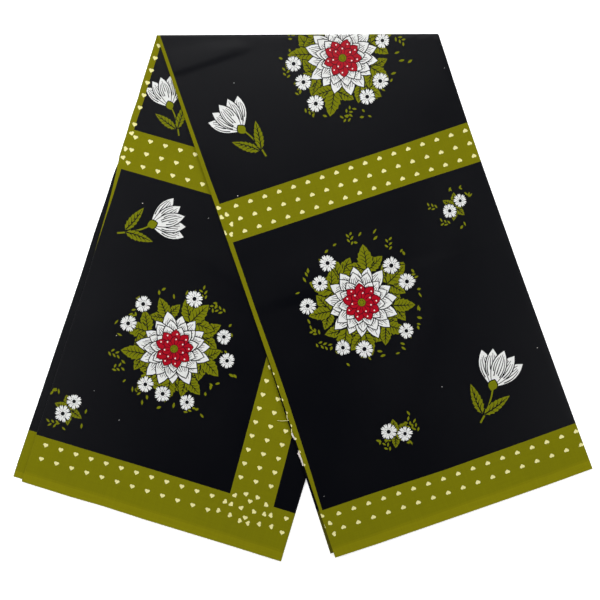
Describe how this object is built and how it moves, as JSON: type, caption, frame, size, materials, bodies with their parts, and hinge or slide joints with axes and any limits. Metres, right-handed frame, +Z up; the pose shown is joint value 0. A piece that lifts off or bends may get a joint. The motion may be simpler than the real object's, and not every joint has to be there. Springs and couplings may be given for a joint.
{
  "type": "folded wax print fabric",
  "caption": "Length of printed cotton cloth folded into a flat strip and once over itself, its legs spread below the fold like an upside-down V; lies flat.",
  "frame": {"origin": "on the surface that the cloth lies on, at the middle of the cloth's outline", "axes": "+X along the fold at the top, +Y from the hems to the fold, +Z up out of the surface"},
  "size_m": [0.6618, 0.6068, 0.0063],
  "materials": {
    "printed_cotton": "plain-woven cotton, black ground with olive bands, lightly glazed",
    "hidden_layers": "the same printed cotton, seen at its folded edges and selvedges"
  },
  "bodies": {
    "root": {"left_leg_under_layers": "hidden_layers", "left_leg_top_layer": "printed_cotton", "right_leg_under_layers": "hidden_layers", "right_leg_top_layer": "printed_cotton", "top_fold": "printed_cotton"}
  },
  "joints": []
}
